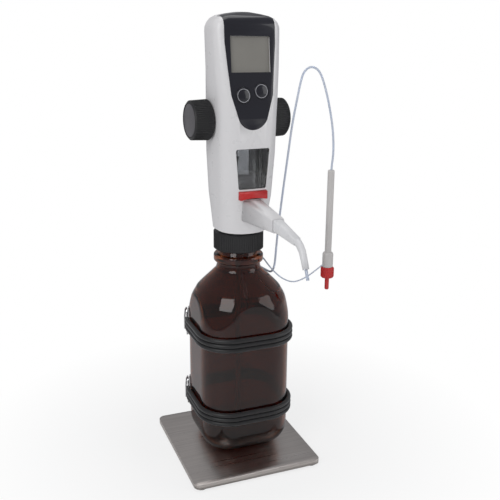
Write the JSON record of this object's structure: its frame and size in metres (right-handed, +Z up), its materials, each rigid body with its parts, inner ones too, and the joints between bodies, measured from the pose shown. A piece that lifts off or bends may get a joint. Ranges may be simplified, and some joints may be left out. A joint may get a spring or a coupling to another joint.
{
  "type": "digital burette",
  "caption": "Bottle-top digital burette with display, side hand wheels, telescoping spout and remote handle, on a square amber bottle strapped upright on a steel plate.",
  "frame": {"origin": "where the bottle's vertical axis meets the plane that the plate's feet stand on", "axes": "+Z up along the bottle's axis, -Y the front that the plate's short side faces, +X the viewer's right; the head and its spout are turned 3.5 degrees about +Z"},
  "size_m": [0.1889, 0.2325, 0.4977],
  "materials": {
    "plate_steel": "brushed along its width",
    "foot_rubber": "matt",
    "amber_glass": "dark amber, polished",
    "strap_rubber": "satin",
    "clasp_wire": "polished",
    "ring_black": "moulded, satin",
    "housing_white": "smooth, half gloss",
    "panel_dark": "polished",
    "screen_grey": "blank display under a clear cover",
    "board_green": "lacquered board",
    "clear_glass": "polished",
    "bush_white": "turned",
    "block_white": "turned, satin",
    "frame_metal": "machined",
    "shaft_steel": "ground",
    "tube_clear": "clear tube",
    "tray_plastic": "moulded",
    "cell_jacket": "plain jacket",
    "handle_grey": "smooth",
    "pinion_brass": "cut teeth",
    "knob_black": "fine ribs",
    "knob_face": "plain grey disc",
    "piston_dark": "turned",
    "seal_rubber": "satin",
    "spout_white": "smooth",
    "signal_red": "smooth red"
  },
  "bodies": {
    "stand": {"base_plate": "plate_steel", "foot_front_left": "foot_rubber", "foot_front_right": "foot_rubber", "foot_back_left": "foot_rubber", "foot_back_right": "foot_rubber", "bottle": "amber_glass", "upper_strap": "strap_rubber", "lower_strap": "strap_rubber", "upper_clasp": "clasp_wire", "lower_clasp": "clasp_wire"},
    "ring": {"mounting_ring": "ring_black"},
    "head": {"housing_front": "housing_white", "housing_rear": "housing_white", "lower_shell": "housing_white", "display_panel": "panel_dark", "lcd_screen": "screen_grey", "circuit_board": "board_green", "window_pane": "clear_glass", "bearing_left": "bush_white", "bearing_right": "bush_white", "valve_block": "block_white", "barrel": "clear_glass", "gear_frame": "frame_metal", "tie_rods": "shaft_steel", "spout_sleeve": "housing_white", "suction_tube": "tube_clear", "tube_gland": "block_white", "battery_tray": "tray_plastic", "battery_left": "cell_jacket", "battery_right": "cell_jacket", "handle_rod": "handle_grey", "handle_collar": "handle_grey", "discharge_tube": "tube_clear", "thin_line": "tube_clear"},
    "drive": {"drive_shaft": "shaft_steel", "drive_pinion": "pinion_brass", "knob_left": "knob_black", "knob_right": "knob_black", "knob_cap_left": "knob_face", "knob_cap_right": "knob_face"},
    "piston": {"piston_rod": "shaft_steel", "piston_head": "piston_dark", "piston_seal": "seal_rubber"},
    "left_key": {"key_left": "panel_dark"},
    "right_key": {"key_right": "panel_dark"},
    "spout": {"spout_slide": "spout_white", "tip_tube": "tube_clear"},
    "release": {"release_bar": "signal_red"},
    "cover": {"battery_cover": "housing_white"},
    "turning_cap": {"red_cap": "signal_red"}
  },
  "joints": [
    {"name": "ring_turn", "type": "hinge", "parent": "stand", "child": "ring", "pos_m": [0, 0, 0.255], "axis": [0, 0, 1], "range_deg": [0, 90]},
    {"name": "head_turn", "type": "hinge", "parent": "stand", "child": "head", "pos_m": [0, 0, 0.26], "axis": [0, 0, 1], "continuous": true},
    {"name": "knob_turn", "type": "hinge", "parent": "head", "child": "drive", "pos_m": [-0.00027, 0.00439, 0.3886], "axis": [-0.9981, -0.061, 0], "range_deg": [0, 285]},
    {"name": "piston_slide", "type": "slide", "parent": "head", "child": "piston", "axis": [0, 0, 1], "range_m": [0, 0.03978]},
    {"name": "key_left_press", "type": "slide", "parent": "head", "child": "left_key", "axis": [-0.0606, 0.99, -0.1271], "range_m": [0, 0.0006], "stiffness_N_per_m": 300},
    {"name": "key_right_press", "type": "slide", "parent": "head", "child": "right_key", "axis": [-0.0606, 0.99, -0.1271], "range_m": [0, 0.0006], "stiffness_N_per_m": 300},
    {"name": "spout_extend", "type": "slide", "parent": "head", "child": "spout", "axis": [0.0607, -0.9932, -0.0993], "range_m": [-0.037, 0]},
    {"name": "release_pull", "type": "slide", "parent": "head", "child": "release", "axis": [0.061, -0.9981, 0], "range_m": [0, 0.004]},
    {"name": "cover_pull", "type": "slide", "parent": "head", "child": "cover", "axis": [-0.061, 0.9981, 0], "range_m": [0, 0.015]},
    {"name": "red_cap_turn", "type": "hinge", "parent": "head", "child": "turning_cap", "pos_m": [0.1002, -0.0267, 0.215], "axis": [0, 0, 1], "range_deg": [0, 180]}
  ],
  "couplings": [
    {"joint": "knob_turn", "follows": "piston_slide", "rad_per_m": 125}
  ]
}
